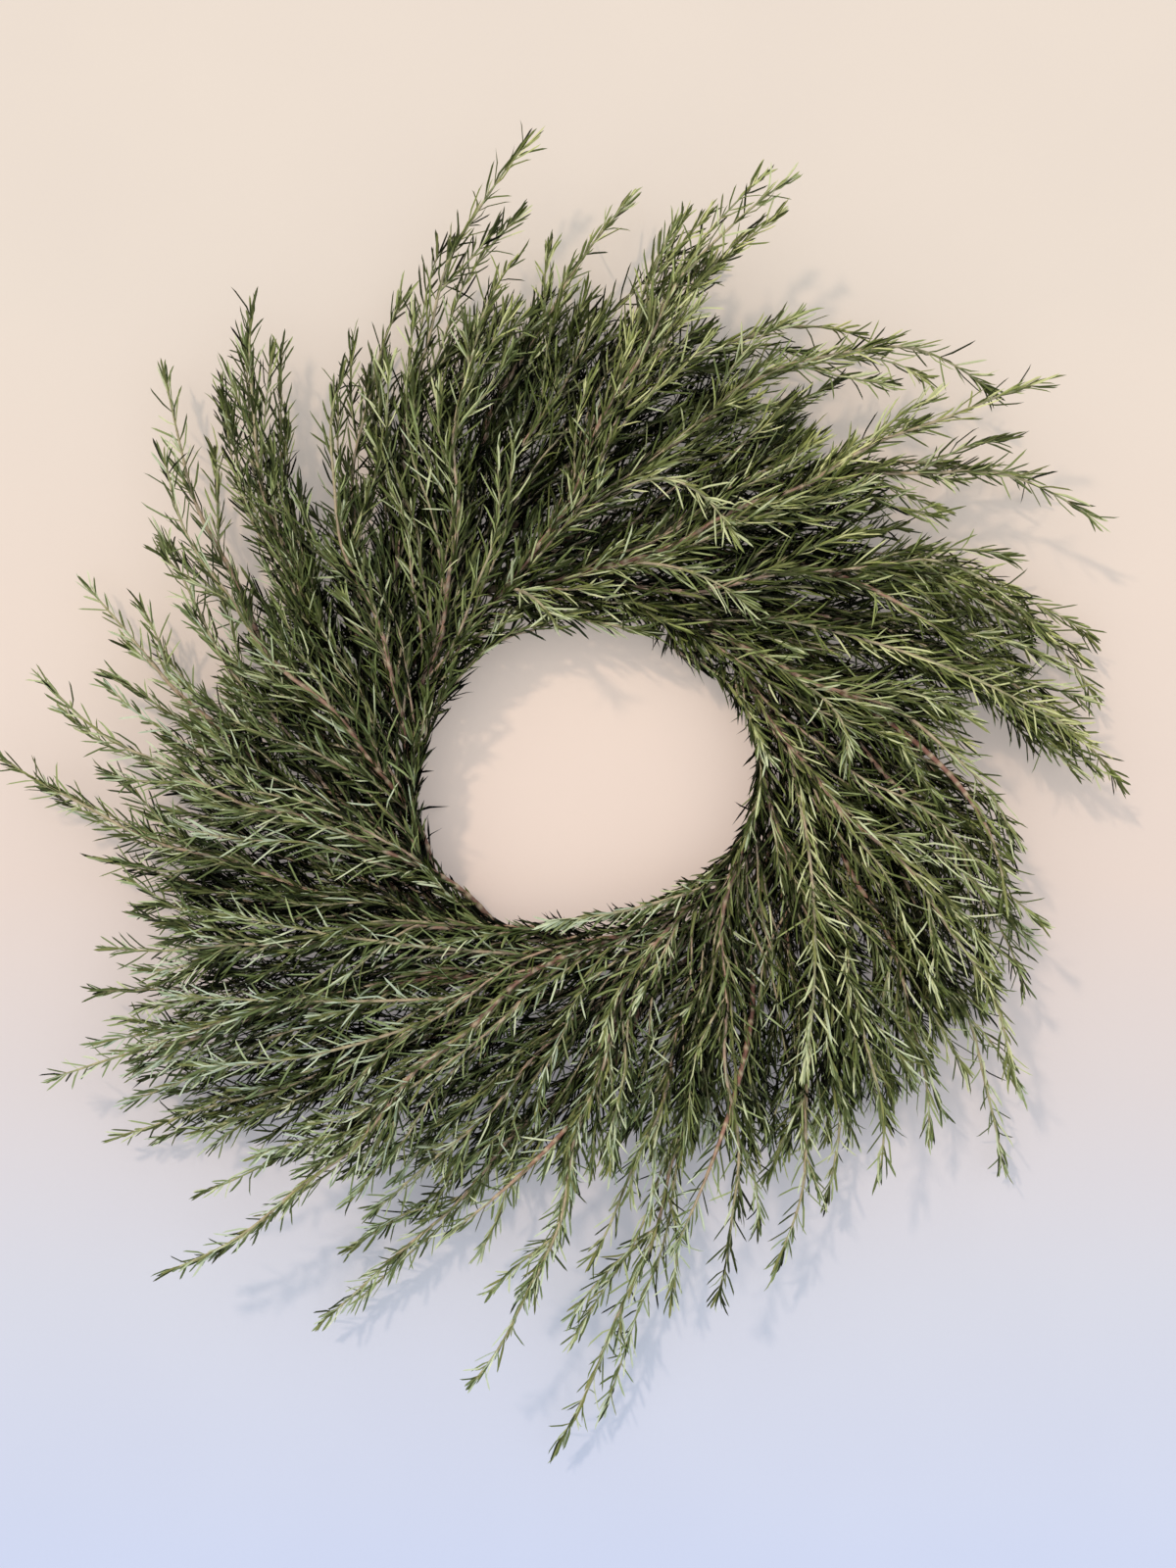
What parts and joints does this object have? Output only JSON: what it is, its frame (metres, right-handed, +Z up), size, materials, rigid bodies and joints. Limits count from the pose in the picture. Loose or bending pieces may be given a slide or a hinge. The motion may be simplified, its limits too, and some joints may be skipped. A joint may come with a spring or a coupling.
{
  "type": "herb wreath",
  "caption": "Round wreath of leafy rosemary sprigs tied in bundles to a welded wire ring, all sweeping clockwise with loose tips.",
  "frame": {"origin": "middle of the whole wreath's bounding box in plan, on the flat surface it lies on", "axes": "+Z up, away from the surface that its back lies on, +Y to the top of the wreath as it hangs, +X to the right seen from its front"},
  "size_m": [0.7818, 0.903, 0.0653],
  "materials": {
    "rosemary_leaf": "matte",
    "rosemary_stem": "matte",
    "ring_wire": "satin",
    "tie_wire": "satin"
  },
  "bodies": {
    "root": {"sprig_01_a": "rosemary_leaf", "sprig_01_b": "rosemary_leaf", "sprig_01_c": "rosemary_leaf", "sprig_02_a": "rosemary_leaf", "sprig_02_b": "rosemary_leaf", "sprig_02_c": "rosemary_leaf", "sprig_03_a": "rosemary_leaf", "sprig_03_b": "rosemary_leaf", "sprig_03_c": "rosemary_leaf", "sprig_04_a": "rosemary_leaf", "sprig_04_b": "rosemary_leaf", "sprig_04_c": "rosemary_leaf", "sprig_05_a": "rosemary_leaf", "sprig_05_b": "rosemary_leaf", "sprig_05_c": "rosemary_leaf", "sprig_06_a": "rosemary_leaf", "sprig_06_b": "rosemary_leaf", "sprig_06_c": "rosemary_leaf", "sprig_07_a": "rosemary_leaf", "sprig_07_b": "rosemary_leaf", "sprig_07_c": "rosemary_leaf", "sprig_08_a": "rosemary_leaf", "sprig_08_b": "rosemary_leaf", "sprig_08_c": "rosemary_leaf", "sprig_09_a": "rosemary_leaf", "sprig_09_b": "rosemary_leaf", "sprig_09_c": "rosemary_leaf", "sprig_10_a": "rosemary_leaf", "sprig_10_b": "rosemary_leaf", "sprig_10_c": "rosemary_leaf", "sprig_11_a": "rosemary_leaf", "sprig_11_b": "rosemary_leaf", "sprig_11_c": "rosemary_leaf", "sprig_12_a": "rosemary_leaf", "sprig_12_b": "rosemary_leaf", "sprig_12_c": "rosemary_leaf", "sprig_13_a": "rosemary_leaf", "sprig_13_b": "rosemary_leaf", "sprig_13_c": "rosemary_leaf", "sprig_14_a": "rosemary_leaf", "sprig_14_b": "rosemary_leaf", "sprig_14_c": "rosemary_leaf", "tie_01": "tie_wire", "tie_02": "tie_wire", "tie_03": "tie_wire", "tie_04": "tie_wire", "tie_05": "tie_wire", "tie_06": "tie_wire", "tie_07": "tie_wire", "tie_08": "tie_wire", "tie_09": "tie_wire", "tie_10": "tie_wire", "tie_11": "tie_wire", "tie_12": "tie_wire", "tie_13": "tie_wire", "tie_14": "tie_wire", "wire_ring": "ring_wire"}
  },
  "joints": []
}
